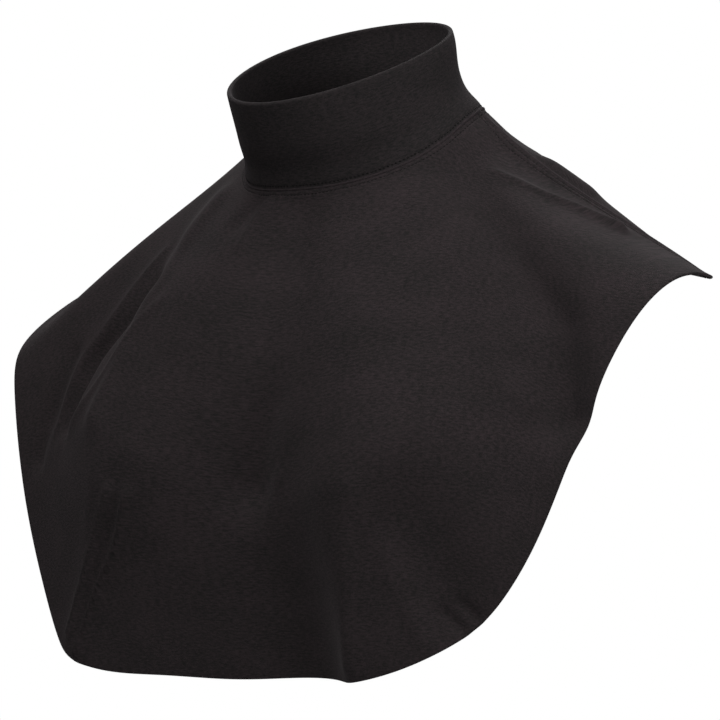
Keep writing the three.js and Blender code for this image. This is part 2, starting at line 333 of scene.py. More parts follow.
@dataclass(frozen=True)
class BibForm:
    """The net of ribs that both bibs, the seams and the band stand on, from its driving sizes."""

    half_width: float = 230 * MM
    chest_depth: float = 110 * MM
    back_depth: float = 104 * MM
    shoulder_drop: float = 62 * MM
    front_drop: float = 277 * MM
    back_drop: float = 182 * MM
    neck_half_width: float = 67 * MM
    neck_half_depth: float = 58 * MM
    neck_back_shift: float = 2 * MM
    neck_dip: float = 26 * MM
    rib_reach: float = 0.36
    seam_row: float = 8.1

    def rows(self) -> np.ndarray:
        """Lists the ribs all the way round: the table, then its mirror image on the far side.

        Returns:
            A row of RIB_COLUMNS numbers for each rib.
        """
        near = np.array([[r.turn, r.rise, r.side, r.fore, r.fall, r.leave, r.land] for r in RIBS])
        far = near[-2:0:-1].copy()
        in_front = np.concatenate([near, far])[:, 3] < 0
        far[:, 0] = 360 - far[:, 0]
        far[:, 1:5] += np.array([r.far for r in RIBS])[-2:0:-1]
        sign = np.concatenate([np.ones(len(near)), -np.ones(len(far))])
        ring = np.concatenate([near, far])
        hem = np.where(in_front, self.front_drop, self.back_drop)
        ring[:, 1] *= self.neck_dip
        ring[:, 2] *= sign * self.half_width
        ring[:, 3] *= np.where(in_front, self.chest_depth, self.back_depth)
        ring[:, 4] = -self.shoulder_drop - (hem - self.shoulder_drop) * ring[:, 4]
        return ring

    def ribs_at(self, place: np.ndarray) -> np.ndarray:
        """Blends the ribs at places between rows, by the uniform cubic B-spline of four rows.

        Args:
            place: where on the ring of rows, 0 at centre front, rising to the wearer's left.

        Returns:
            RIB_COLUMNS numbers in a last axis, with turns that run on past 360 degrees.
        """
        rows = self.rows()
        first = np.floor(place).astype(int)
        f = (place - first)[..., None]
        weights = ((1 - f) ** 3, 3 * f**3 - 6 * f**2 + 4, -3 * f**3 + 3 * f**2 + 3 * f + 1, f**3)
        blend = np.zeros(np.shape(place) + (RIB_COLUMNS,))
        for k, weight in enumerate(weights):
            index = first + k - 1
            row = rows[index % len(rows)]
            row[..., 0] += 360 * (index // len(rows))
            blend += weight / 6 * row
        return blend

    def controls(self, place: np.ndarray) -> tuple[np.ndarray, np.ndarray, np.ndarray, np.ndarray]:
        """Gives the four control points of the rib's Bezier curve.

        The ends are on the neck seam, an ellipse that dips in front, and on the cut edge. The
        handles point along the rib's plan heading, at its leaving and landing slopes.

        Args:
            place: where on the ring of rows.

        Returns:
            The four points, each with its coordinates in a last axis.
        """
        rib = self.ribs_at(place)
        turn, leave, land = np.radians(rib[..., 0]), np.radians(rib[..., 5:6]), np.radians(rib[..., 6:])
        depth = self.neck_back_shift - self.neck_half_depth * np.cos(turn)
        neck = np.stack([self.neck_half_width * np.sin(turn), depth, rib[..., 1]], -1)
        edge = rib[..., 2:5]
        reach = self.rib_reach * np.linalg.norm(edge - neck, axis=-1, keepdims=True)
        heading = unit((edge - neck) * [1, 1, 0])
        up = np.array([0.0, 0.0, 1.0])
        leaving = neck + reach * (heading * np.cos(leave) - up * np.sin(leave))
        landing = edge - reach * (heading * np.cos(land) - up * np.sin(land))
        return neck, leaving, landing, edge

    def point(self, place: np.ndarray, share: np.ndarray) -> np.ndarray:
        """Gives points of the bib's smooth form, by the rib's cubic Bezier.

        Args:
            place: where on the ring of rows.
            share: the share of the rib passed.

        Returns:
            The points, with their coordinates in a last axis.
        """
        a, b, c, d = self.controls(place)
        t = np.asarray(share)[..., None]
        return (1 - t) ** 3 * a + 3 * (1 - t) ** 2 * t * b + 3 * (1 - t) * t**2 * c + t**3 * d

    def share_per_metre(self, place: np.ndarray) -> np.ndarray:
        """Gives how fast a rib's share passes beside the neck seam.

        It is 1 over the rib's speed at the seam times the sine of its angle with the seam.

        Args:
            place: where on the ring of rows.

        Returns:
            Share for each metre from the seam, measured square to it.
        """
        neck, leaving, _, _ = self.controls(place)
        seam = unit(self.controls(place + STEP)[0] - self.controls(place - STEP)[0])
        along = leaving - neck
        square = lengths(np.cross(along, seam))
        return 1 / (3 * square)

    def metres_per_place(self, place: float, share: np.ndarray) -> np.ndarray:
        """Gives how far apart ribs are beside one rib, measured square to it.

        Args:
            place: the rib's place.
            share: shares of the rib at which to measure.

        Returns:
            Metres for each whole place.
        """
        here = np.full(np.shape(share), float(place))
        along = unit(self.point(here, share + STEP) - self.point(here, share - STEP))
        aside = (self.point(here + STEP, share) - self.point(here - STEP, share)) / (2 * STEP)
        return lengths(aside - (aside * along).sum(-1, keepdims=True) * along)

    def lift(
        self, points: np.ndarray, folds: tuple[Fold, ...], creases: tuple[Crease, ...]
    ) -> np.ndarray:
        """Gives how far folds and creases lift points of a bib.

        Each adds its height, blended between its two ends, times its profile across. A main fold's
        distance is measured in the front view, a crease's in space.

        Args:
            points: points of the smooth form.
            folds: the main folds.
            creases: the finer ones.

        Returns:
            Heights in metres along the normals.
        """
        height = np.zeros(points.shape[:-1])
        for fold in folds:
            path = np.array(fold.path) * [self.half_width, self.front_drop]
            distance, share = beside_path(points[..., [0, 2]], path)
            ends = self.half_width * np.interp(share, (0, 1), fold.heights)
            height += ends * fold_profile(distance / (self.half_width * fold.width), fold.crest)
        for crease in creases:
            place, share = smooth_path(np.array(crease.path), PATH_POINTS).T
            distance, passed = beside_path(points, self.point(place, share))
            ends = MM * np.interp(passed, (0, 1), crease.heights)
            crest = CREASE_CREST if crease.profile is Profile.RIDGE else 0.0
            height += ends * fold_profile(distance / (MM * crease.width), crest)
        return height


@dataclass(frozen=True)
class SeamRelief:
    """How cloth stands beside a seam: raised over the allowance, drawn down along each stitch row.

    reach and rows are distances from the seam. The height is
    allowance * (1 - tanh((d - reach) / soft)) / 2 - groove * exp(-((d - row) / half_groove)^2).
    """

    allowance: float = 0.3 * MM
    reach: float = 4.2 * MM
    soft: float = 0.6 * MM
    rows: tuple[float, ...] = (2.9 * MM,)
    groove: float = 0.5 * MM
    half_groove: float = 0.7 * MM

    def height(self, distance: np.ndarray) -> np.ndarray:
        """Gives the relief at distances from the seam, in metres."""
        raised = self.allowance * (1 - np.tanh((distance - self.reach) / self.soft)) / 2
        for row in self.rows:
            raised = raised - self.groove * np.exp(-(((distance - row) / self.half_groove) ** 2))
        return raised


def running_length(points: np.ndarray) -> np.ndarray:
    """Adds up the distances between points, one a row, from 0 at the first."""
    return np.concatenate([[0], np.cumsum(lengths(np.diff(points, axis=0)))])


def grid_quads(columns: int, rows: int, round_columns: bool, round_rows: bool) -> Pair:
    """Lists a grid's quads, by vertex and by corner of the grid laid flat.

    Vertex i, j is number i * rows + j. A closed axis takes its last quad back to its first point,
    while on the flat grid, which UV maps use, that quad goes on to one more point.

    Args:
        columns: points along the first axis.
        rows: points along the second axis.
        round_columns: whether the first axis closes on itself.
        round_rows: whether the second axis closes on itself.

    Returns:
        The quads' vertices, and the same quads' corners on the flat grid.
    """
    i, j = np.meshgrid(
        np.arange(columns - (not round_columns)), np.arange(rows - (not round_rows)), indexing="ij"
    )
    corners = ((i, j), (i, j + 1), (i + 1, j + 1), (i + 1, j))
    vertices = np.stack([a % columns * rows + b % rows for a, b in corners], -1)
    flat = np.stack([a * (rows + round_rows) + b for a, b in corners], -1)
    return vertices.reshape(-1, 4), flat.reshape(-1, 4)


def end_fans(rings: int, sides: int) -> np.ndarray:
    """Closes a tube's two ends on two poles, numbered after all its rings.

    Args:
        rings: how many rings the tube has.
        sides: points in each ring.

    Returns:
        The triangles, one a row.
    """
    side, pole = np.arange(sides), rings * sides
    after, end = (side + 1) % sides, pole - sides
    first = np.stack([after, side, np.full(sides, pole)], -1)
    last = np.stack([end + side, end + after, np.full(sides, pole + 1)], -1)
    return np.concatenate([first, last])


def make_piece(
    name: str, points: np.ndarray, faces: list, uv: np.ndarray | None, finish: Material
) -> Object:
    """Makes a smooth mesh object at the origin.

    Args:
        name: the object's name.
        points: vertices, one a row.
        faces: vertex numbers of each face.
        uv: metres across and up the cloth, one row for each face corner, or None.
        finish: the piece's material.

    Returns:
        The object, linked into the scene.
    """
    mesh = bpy.data.meshes.new(name)
    mesh.from_pydata(points.tolist(), [], faces)
    mesh.polygons.foreach_set("use_smooth", np.ones(len(mesh.polygons), dtype=bool))
    if uv is not None:
        layer = mesh.uv_layers.new(name="cloth")
        layer.data.foreach_set("uv", uv.astype(np.float32).ravel())
    mesh.materials.append(finish)
    mesh.update()
    piece = bpy.data.objects.new(name, mesh)
    bpy.context.scene.collection.objects.link(piece)
    return piece


def register(piece: Object, slot: str, *nodes: str) -> None:
    """Ties a finished piece to the frame.

    Args:
        piece: the piece.
        slot: not used.
        nodes: the CAD nodes that it stands for, if any.
    """
    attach(piece, BODY)
    if nodes:
        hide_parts(*nodes)
    stands_for = ", ".join(nodes) or "the looks alone"
    log.info("%s: %d faces for %s", piece.name, len(piece.data.polygons), stands_for)


@dataclass
class Bib:
    """One bib between the two shoulder seams: a wall of knit with a rounded cut edge."""

    form: BibForm
    name: str
    node: str
    start: float
    end: float
    flat: tuple[float, float]
    area: float
    folds: tuple[Fold, ...]
    creases: tuple[Crease, ...]
    columns: int = 400
    rows: int = 120
    wall: float = 1.4 * MM
    fan: float = 8 * MM
    fan_step: float = 0.35 * MM
    settle: float = 5 * MM
    tuck: float = 0.3 * MM
    round_steps: int = 6
    neck_relief: SeamRelief = SeamRelief()
    shoulder_relief: SeamRelief = SeamRelief(allowance=0.0, groove=0.0)
    outer: np.ndarray = field(init=False)
    normals: np.ndarray = field(init=False)

    def net(self) -> tuple[np.ndarray, np.ndarray, np.ndarray, np.ndarray]:
        """Lays out the grid: fine columns by the shoulder seams, fine rows by the neck seam.

        Near a seam the lines keep even distances from it; between, they are spread evenly.

        Returns:
            Places and shares of the grid, and each point's distances from the neck seam and from
            the nearer shoulder seam.
        """
        fine = np.arange(self.tuck, self.fan, self.fan_step)
        even = np.linspace(0, 1, self.columns)
        top = self.start + (self.end - self.start) * even
        per_metre = self.form.share_per_metre(top)[:, None]
        near = fine * per_metre
        rest = np.linspace(0, 1, self.rows - len(fine) + 1)[1:]
        share = np.concatenate([near, near[:, -1:] + (1 - near[:, -1:]) * rest], axis=1)
        first = self.start + fine[:, None] / self.form.metres_per_place(self.start, share[0])
        last = self.end - fine[::-1, None] / self.form.metres_per_place(self.end, share[-1])
        middle = np.linspace(0, 1, self.columns - 2 * len(fine) + 2)[1:-1, None]
        place = np.concatenate([first, first[-1:] * (1 - middle) + last[:1] * middle, last])
        from_neck = share / self.form.share_per_metre(place[:, 0])[:, None]
        spread = self.form.metres_per_place(self.start, share[0])
        from_shoulder = np.minimum(place - self.start, self.end - place) * spread
        return place, share, from_neck, from_shoulder

    def middle(self) -> Pair:
        """Gives the wall's middle surface, smooth and with its folds and the relief by its seams.

        The folds begin at the seams and grow with the distance d as 1 - exp(-(d / settle)^2).

        Returns:
            The smooth points and the dressed ones, each by column, row and coordinate.
        """
        place, share, from_neck, from_shoulder = self.net()
        smooth = self.form.point(place, share)
        begun = 1 - np.exp(-((np.minimum(from_neck, from_shoulder) / self.settle) ** 2))
        height = self.form.lift(smooth, self.folds, self.creases) * begun
        height += self.neck_relief.height(from_neck) + self.shoulder_relief.height(from_shoulder)
        return smooth, smooth + grid_normals(smooth) * height[..., None]

    def cloth_map(self, smooth: np.ndarray) -> np.ndarray:
        """Lays the cloth flat, in its own metres.

        They run along each rib by its front-view heading, and the ribs' tops lie side by side, as
        far apart as on the seam.

        Args:
            smooth: the smooth form's points, by column, row and coordinate.

        Returns:
            Metres across and up the cloth, one row for each corner of the grid laid flat.
        """
        steps = lengths(np.diff(smooth, axis=1, prepend=smooth[:, :1]))
        along = np.cumsum(steps, axis=1)
        chord = unit((smooth[:, -1] - smooth[:, 0])[:, [0, 2]])
        spread = lengths(np.gradient(smooth[:, 0], axis=0))[:, None]
        beside = np.stack([-chord[:, 1], chord[:, 0]], -1) * np.sign(chord[-1, 0] - chord[0, 0])
        tops = np.cumsum(spread * beside, axis=0)
        cloth = tops[:, None] + along[..., None] * chord[:, None]
        hem = np.repeat(cloth[:, -1:], self.round_steps, axis=1)
        uv = np.concatenate([cloth, hem, cloth[:, ::-1], cloth[:, :1]], axis=1)
        return uv.reshape(-1, 2)

    def build(self, finish: Material) -> Object:
        """Makes the wall: out along its face, round the cut edge, back inside, and closed ends.

        The half round is middle + wall / 2 * (normal * cos a + outward * sin a), a from 0 to pi.

        Args:
            finish: the knit.

        Returns:
            The bib's object.
        """
        smooth, middle = self.middle()
        self.normals = grid_normals(middle)
        self.outer = middle + self.normals * self.wall / 2
        inner = middle - self.normals * self.wall / 2
        outward = unit(middle[:, -1:] - middle[:, -2:-1])
        angle = np.linspace(0, math.pi, self.round_steps + 2)[1:-1][None, :, None]
        rounding = self.normals[:, -1:] * np.cos(angle) + outward * np.sin(angle)
        cut = middle[:, -1:] + self.wall / 2 * rounding
        shell = np.concatenate([self.outer, cut, inner[:, ::-1]], axis=1)
        columns, size = shell.shape[:2]
        quads, flat = grid_quads(columns, size, False, True)
        half = np.arange(size // 2 - 1)
        back = size - 1 - half
        first = np.stack([back, back - 1, half + 1, half], -1)
        last = (columns - 1) * size + np.stack([half, half + 1, back - 1, back], -1)
        faces = np.concatenate([quads, first, last])
        corners = np.concatenate([flat, first, last + (columns - 1)])
        uv = self.cloth_map(smooth)[corners.ravel()]
        return make_piece(self.name, shell.reshape(-1, 3), faces.tolist(), uv, finish)

    def dress(self, piece: Object, trims: list[str]) -> None:
        """Ties the bib to the frame."""
        register(piece, "bib_knit", self.node)

    def row(self, number: int) -> Pair:
        """Gives the outer face's points and normals along one row."""
        return self.outer[:, number], self.normals[:, number]

    def column(self, number: int) -> Pair:
        """Gives the outer face's points and normals along one column."""
        return self.outer[number], self.normals[number]


@dataclass
class NeckBand:
    """The mock-neck band: a strip folded double at the rim, standing on the neck seam."""

    form: BibForm
    rim_half_width: float = 54.5 * MM
    rim_half_depth: float = 69.5 * MM
    rim_tilt: float = 19.8
    rim_fore: float = 18.5 * MM
    rim_rise: float = 45.4 * MM
    rim_bow: float = 2 * MM
    hollow: float = 5 * MM
    waist: float = 1.4 * MM
    waist_rise: float = 12 * MM
    waist_reach: float = 9 * MM
    wall: float = 2.6 * MM
    columns: int = 320
    rows: int = 60
    round_steps: int = 9
    tuck: float = 0.3 * MM
    relief: SeamRelief = SeamRelief(allowance=0.0, rows=(2.6 * MM,), groove=0.25 * MM)
    flat: tuple[float, float] = (0.4, 0.052)
    outer: np.ndarray = field(init=False)
    normals: np.ndarray = field(init=False)

    def rim(self, turn: np.ndarray) -> np.ndarray:
        """Gives points of the rim, a tilted ellipse bowed up at both sides, at turns in radians."""
        tilt = math.radians(self.rim_tilt)
        fore = self.rim_half_depth * np.cos(turn)
        return np.stack([
            self.rim_half_width * np.sin(turn),
            -self.rim_fore - fore * math.cos(tilt),
            self.rim_rise - fore * math.sin(tilt) + self.rim_bow * np.sin(turn) ** 2,
        ], -1)

    def build(self, finish: Material) -> Object:
        """Makes the wall: up inside, round the fold, and down outside, closed all round.

        A wall point is seam + (rim - seam) * share, moved across by half the wall and inwards by
        hollow * (1 - cos turn) / 2 * sin(pi share)^2, and by waist * exp(-((h - rise) / reach)^2),
        with h its height over the seam.

        Args:
            finish: the knit.

        Returns:
            The band's object.
        """
        ring = len(self.form.rows())
        place = np.arange(self.columns) * ring / self.columns
        turn = np.radians(self.form.ribs_at(place)[:, 0])
        seam = self.form.controls(place)[0]
        rim = self.rim(turn)
        up = unit(rim - seam)
        level = np.stack([np.sin(turn), -np.cos(turn), 0 * turn], -1)
        out = unit(level - (level * up).sum(-1, keepdims=True) * up)
        half = self.wall / 2
        bottom, top = seam + up * self.tuck, rim - up * half
        share = np.linspace(0, 1, self.rows)[None, :, None]
        wall = bottom[:, None] * (1 - share) + top[:, None] * share
        inward = self.hollow * (1 - np.cos(turn))[:, None, None] / 2 * np.sin(math.pi * share) ** 2
        height = lengths(wall - seam[:, None])
        drawn = self.waist * np.exp(-(((height - self.waist_rise) / self.waist_reach) ** 2))
        inward = inward + drawn[..., None]
        relief = self.relief.height(height)[..., None]
        wall = wall - out[:, None] * inward
        self.outer = wall + out[:, None] * (half + relief)
        self.normals = np.repeat(out[:, None], self.rows, axis=1)
        angle = np.linspace(0, math.pi, self.round_steps + 2)[1:-1][None, :, None]
        fold = top[:, None] + half * (up[:, None] * np.sin(angle) - out[:, None] * np.cos(angle))
        shell = np.concatenate([wall - out[:, None] * half, fold, self.outer[:, ::-1]], axis=1)

        across = running_length(np.concatenate([seam, seam[:1]]))
        size = shell.shape[1]
        rise = lengths(np.diff(shell, axis=1, append=shell[:, :1])).mean(0)
        upward = np.concatenate([[0], np.cumsum(rise)])
        uv = np.stack(np.meshgrid(across, upward, indexing="ij"), -1)
        quads, flat = grid_quads(self.columns, size, True, True)
        uv = uv.reshape(-1, 2)[flat.ravel()]
        return make_piece("neck_band", shell.reshape(-1, 3), quads.tolist(), uv, finish)

    def dress(self, piece: Object, trims: list[str]) -> None:
        """Ties the band to the frame."""
        register(piece, "band_knit", "collar")

    def row_at(self, height: float) -> Pair:
        """Gives the outer face's points and normals along the row nearest a height over the seam."""
        heights = lengths(self.outer - self.outer[:, :1]).mean(0)
        number = int(np.abs(heights - height).argmin())
        return self.outer[:, number], self.normals[:, number]


@dataclass
class Ridge:
    """A sewn ridge: a round cord of folded cloth, flattened a little, along a seam."""

    name: str
    node: str
    slot: str
    half_wide: float
    half_high: float
    closed: bool
    stand: float = 0.0
    sides: int = 12

    def build(self, points: np.ndarray, normals: np.ndarray, finish: Material) -> Object:
        """Carries an ellipse along the seam.

        A point is path + across * half_wide * cos a + normal * (stand + half_high * sin a). The
        ends of an open ridge close on a point.

        Args:
            points: the seam's points, one a row.
            normals: the way out of the cloth at each.
            finish: the ridge's cloth.

        Returns:
            The ridge's object.
        """
        if self.closed:
            along = unit(np.roll(points, -1, axis=0) - np.roll(points, 1, axis=0))
        else:
            along = unit(np.gradient(points, axis=0))
        across = unit(np.cross(normals, along))
        high = unit(np.cross(along, across))
        angle = np.linspace(0, 2 * math.pi, self.sides, endpoint=False)[None, :, None]
        wide = across[:, None] * self.half_wide * np.cos(angle)
        thick = high[:, None] * self.half_high * np.sin(angle)
        points = points + high * self.stand
        shell = points[:, None] + (wide + thick)
        gone = running_length(points)
        if self.closed:
            gone = np.append(gone, 2 * gone[-1] - gone[-2])
        girth = np.linspace(0, math.tau * self.half_wide, self.sides + 1)
        uv = np.stack(np.meshgrid(gone, girth, indexing="ij"), -1).reshape(-1, 2)
        quads, flat = grid_quads(len(points), self.sides, self.closed, True)
        vertices = shell.reshape(-1, 3)
        faces, corners = quads.tolist(), flat.ravel()
        if not self.closed:
            faces += end_fans(len(points), self.sides).tolist()
            vertices = np.concatenate([vertices, points[[0, -1]]])
            corners = np.concatenate([corners, np.zeros(6 * self.sides, dtype=int)])
        return make_piece(self.name, vertices, faces, uv[corners], finish)

    def dress(self, piece: Object) -> None:
        """Ties the ridge to the frame."""
        register(piece, self.slot, self.node)


@dataclass
class Stitching:
    """A row of lockstitches: short rounded threads, end to end with a needle hole between."""

    pitch: float = 2.3 * MM
    length: float = 1.35 * MM
    half_thick: float = 0.42 * MM
    sink: float = 0.1 * MM
    sides: int = 6
    rings: tuple[float, ...] = (-0.82, -0.4, 0.4, 0.82)  # along it, in half lengths

    def stitches(self, points: np.ndarray, normals: np.ndarray) -> Pair:
        """Lays stitches along one row.

        Stitch points are middle + along * x * length / 2 + ring * half_thick * sqrt(1 - x^4), for x
        from -1 to 1, and the middles are spread evenly along the row.

        Args:
            points: the row's points on the cloth.
            normals: the way out of the cloth at each.

        Returns:
            Vertices by stitch and vertex, and the triangles of one stitch.
        """
        gone = running_length(points)
        count = max(2, round(gone[-1] / self.pitch))
        at = (np.arange(count) + 0.5) * gone[-1] / count

        def along_row(values: np.ndarray, where: np.ndarray) -> np.ndarray:
            """Interpolates values of the row at distances along it."""
            return np.stack([np.interp(where, gone, values[:, k]) for k in range(3)], -1)

        middle = along_row(points - normals * self.sink, at)
        out = unit(along_row(normals, at))
        reach = self.length / 2
        run = unit(along_row(points, at + reach) - along_row(points, at - reach))
        across = unit(np.cross(out, run))
        out = np.cross(run, across)
        x = np.repeat(self.rings, self.sides)
        angle = np.tile(np.linspace(0, math.tau, self.sides, endpoint=False), len(self.rings))
        thick = self.half_thick * np.sqrt(1 - x**4)
        local = np.stack([x * reach, thick * np.cos(angle), thick * np.sin(angle)], -1)
        local = np.concatenate([local, [[-reach, 0, 0], [reach, 0, 0]]])
        axes = np.stack([run, across, out], 1)
        vertices = middle[:, None] + np.einsum("vk,skc->svc", local, axes)
        quads, _ = grid_quads(len(self.rings), self.sides, False, True)
        fans = end_fans(len(self.rings), self.sides)
        return vertices, np.concatenate([quads[:, [0, 1, 2]], quads[:, [0, 2, 3]], fans])

    def build(self, name: str, rows: list[Pair], finish: Material) -> Object:
        """Joins the stitches of several rows into one piece.

        Args:
            name: the piece's name.
            rows: points and normals of each row.
            finish: the thread.

        Returns:
            The stitches' object.
        """
        vertices, faces = [], []
        count = 0
        for points, normals in rows:
            made, pattern = self.stitches(points, normals)
            offset = count + np.arange(len(made))[:, None, None] * made.shape[1]
            vertices.append(made.reshape(-1, 3))
            faces.append((pattern[None] + offset).reshape(-1, 3))
            count += made.shape[0] * made.shape[1]
        return make_piece(name, np.concatenate(vertices), np.concatenate(faces).tolist(), None, finish)


def linear(hex_colour: str) -> tuple[float, float, float, float]:
    """Turns an sRGB hex colour such as 1f1c1d into linear red, green, blue and 1."""
    srgb = np.array([int(hex_colour[k:k + 2], 16) for k in (0, 2, 4)]) / 255
    r, g, b = np.where(srgb <= 0.04045, srgb / 12.92, ((srgb + 0.055) / 1.055) ** 2.4)
    return float(r), float(g), float(b), 1.0


def add_node(
    tree: NodeTree, kind: str, settings: dict | None = None, inputs: dict | None = None
) -> Node:
    """Adds a shader node.

    Args:
        tree: the node tree.
        kind: the node's type, without ShaderNode.
        settings: its properties, by name.
        inputs: for each input, by name or number, a value or the output socket to link.

    Returns:
        The node.
    """
    node = tree.nodes.new(f"ShaderNode{kind}")
    for key, value in (settings or {}).items():
        setattr(node, key, value)
    for key, value in (inputs or {}).items():
        if isinstance(value, NodeSocket):
            tree.links.new(value, node.inputs[key])
        else:
            node.inputs[key].default_value = value
    return node


def mix_colours(tree: NodeTree, share: NodeSocket, low: str, high: str) -> NodeSocket:
    """Adds a mix of two colours.

    Args:
        tree: the node tree.
        share: how much of the second colour shows, 0 to 1.
        low: the first colour, in hex.
        high: the second colour, in hex.

    Returns:
        The mixed colour's socket.
    """
    inputs = {0: share, 6: linear(low), 7: linear(high)}
    return add_node(tree, "Mix", {"data_type": "RGBA"}, inputs).outputs[2]


def new_material(name: str) -> tuple[Material, NodeTree]:
    """Makes an empty node material and gives it with its tree."""
    made = bpy.data.materials.new(name)
    made.use_nodes = True
    made.node_tree.nodes.clear()
    return made, made.node_tree


def add_surface(tree: NodeTree, inputs: dict) -> None:
    """Adds a Principled shader with these inputs, and the material's output."""
    shader = add_node(tree, "BsdfPrincipled", {}, inputs)
    add_node(tree, "OutputMaterial", {}, {"Surface": shader.outputs["BSDF"]})


@dataclass(frozen=True)
class Grain:
    """A noise on the cloth: how wide and high its features are, in metres, detail and seed."""

    across: float
    upward: float
    detail: float
    seed: float
    roughness: float = 0.6

    def add(self, tree: NodeTree, cloth: NodeSocket) -> NodeSocket:
        """Adds the noise to a material, on the cloth's own metres, and gives its value."""
        scale = (1 / self.across, 1 / self.upward, 1)
        placed = add_node(
            tree, "Mapping", {},
            {"Vector": cloth, "Location": (self.seed, self.seed, 0), "Scale": scale},
        )
        noise = add_node(
            tree, "TexNoise", {"noise_dimensions": "2D"},
            {
                "Vector": placed.outputs["Vector"], "Scale": 1.0, "Detail": self.detail,
                "Roughness": self.roughness,
            },
        )
        return noise.outputs["Fac"]


@dataclass(frozen=True)
class CottonInterlock:
    """Cotton interlock knit, dyed black in the yarn and worn soft.

    To the eye: a warm near-black with no gloss, fine level streaks where thick and thin yarn
    change, reddish in the light, and a pale bloom of fibre ends where the cloth turns away.
    """

    name: str
    ground: str = "232121"
    fleck: str = "42383b"
    fleck_share: float = 0.55
    roughness: float = 0.95
    specular: float = 0.12
    sheen: float = 0.06
    sheen_roughness: float = 0.45
    sheen_colour: str = "c6bcc0"
    streak: Grain = Grain(3.4 * MM, 0.95 * MM, 3.0, 3.1)  # a little over a 0.9 mm stitch high
    fibre: Grain = Grain(1.12 * MM, 0.7 * MM, 2.0, 7.7)
    cloud: Grain = Grain(38 * MM, 22.8 * MM, 2.0, 1.3)
    fibre_weight: float = 0.55  # beside the streaks
    cloud_weight: float = 0.3
    fleck_from: float = 0.72  # sum of the noises where the flecks begin and are full
    fleck_full: float = 1.18
    bump: float = 0.16 * MM
    bump_strength: float = 0.8

    def material(self) -> Material:
        """Makes the knit: streaked colour, fibre sheen and a fine uneven surface.

        Returns:
            The material.
        """
        made, tree = new_material(self.name)
        cloth = add_node(tree, "UVMap", {"uv_map": "cloth"}).outputs["UV"]
        streak, fibre, cloud = (grain.add(tree, cloth) for grain in (self.streak, self.fibre, self.cloud))
        add_up = {"operation": "MULTIPLY_ADD"}
        both = add_node(tree, "Math", add_up, {0: fibre, 1: self.fibre_weight, 2: streak})
        clouded = add_node(tree, "Math", add_up, {0: cloud, 1: self.cloud_weight, 2: both.outputs[0]})
        share = add_node(
            tree, "MapRange", {},
            {
                "Value": clouded.outputs[0], "From Min": self.fleck_from, "From Max": self.fleck_full,
                "To Min": 0.0, "To Max": self.fleck_share,
            },
        )
        bump = add_node(
            tree, "Bump", {},
            {"Strength": self.bump_strength, "Distance": self.bump, "Height": both.outputs[0]},
        )
        add_surface(tree, {
            "Base Color": mix_colours(tree, share.outputs["Result"], self.ground, self.fleck),
            "Roughness": self.roughness, "Specular IOR Level": self.specular,
            "Sheen Weight": self.sheen, "Sheen Roughness": self.sheen_roughness,
            "Sheen Tint": linear(self.sheen_colour), "Normal": bump.outputs["Normal"],
        })
        return made


@dataclass(frozen=True)
class SpunThread:
    """Spun polyester sewing thread, black, two plies twisted.

    To the eye: black with next to no gloss. Its colour is set much darker than the knit's as painted
    shade, standing in for the shade of the sunk stitch rows and their needle holes.
    """

    name: str = "spun thread"
    # Painted shade: darker than the knit, so that the stitch rows read dark like shaded needle holes.
    colour: str = "0a0909"
    light: str = "151313"
    roughness: float = 0.7
    specular: float = 0.15
    ply: float = 0.35 * MM
    wave: float = 0.3  # the wave texture's scale that gives bands roughly 1 m apart
    bump: float = 0.05 * MM
    bump_strength: float = 0.4

    def material(self) -> Material:
        """Makes the thread, with fine bands for its twist.

        Returns:
            The material.
        """
        made, tree = new_material(self.name)
        place = add_node(tree, "TexCoord")
        twist = add_node(
            tree, "TexWave", {"wave_type": "BANDS", "bands_direction": "DIAGONAL"},
            {"Vector": place.outputs["Object"], "Scale": self.wave / self.ply, "Distortion": 1.0},
        )
        colour = mix_colours(tree, twist.outputs["Fac"], self.colour, self.light)
        bump = add_node(
            tree, "Bump", {},
            {"Strength": self.bump_strength, "Distance": self.bump, "Height": twist.outputs["Fac"]},
        )
        add_surface(tree, {
            "Base Color": colour, "Roughness": self.roughness, "Specular IOR Level": self.specular,
            "Normal": bump.outputs["Normal"],
        })
        return made


@dataclass(frozen=True)
class BackdropPaper:
    """Matt white backdrop paper. To the eye: an even pale ground with a very faint tooth."""

    name: str = "backdrop paper"
    colour: str = "f4f4f4"
    shade: str = "eeeeee"
    tooth: float = 60.0
    roughness: float = 0.95
    specular: float = 0.1

    def material(self) -> Material:
        """Makes the paper.

        Returns:
            The material.
        """
        made, tree = new_material(self.name)
        place = add_node(tree, "TexCoord")
        tooth = add_node(tree, "TexNoise", {}, {"Vector": place.outputs["Object"], "Scale": self.tooth})
        colour = mix_colours(tree, tooth.outputs["Fac"], self.colour, self.shade)
        add_surface(tree, {
            "Base Color": colour, "Roughness": self.roughness, "Specular IOR Level": self.specular,
        })
        return made


def bearing(azimuth: float, elevation: float) -> Vector:
    """Gives the way out to an azimuth from the front and an elevation, both in degrees."""
    az, el = math.radians(azimuth), math.radians(elevation)
    return Vector((math.sin(az) * math.cos(el), -math.cos(az) * math.cos(el), math.sin(el)))


@dataclass(frozen=True)
class Softbox:
    """A soft studio light, placed by its direction from the part.

    azimuth is in degrees from the front, rising to the wearer's left; elevation is above level.
    """

    name: str
    azimuth: float
    elevation: float
    power: float
    distance: float = 1.8
    size: float = 0.9

    def build(self, target: Vector) -> None:
        """Hangs the light and turns it to the target."""
        lamp = bpy.data.lights.new(self.name, "AREA")
        lamp.shape = "SQUARE"
        lamp.size = self.size
        lamp.energy = self.power
        light = bpy.data.objects.new(self.name, lamp)
        toward = bearing(self.azimuth, self.elevation)
        light.location = target + toward * self.distance
        light.rotation_euler = (-toward).to_track_quat("-Z", "Y").to_euler()
        light.visible_camera = False
        bpy.context.scene.collection.objects.link(light)


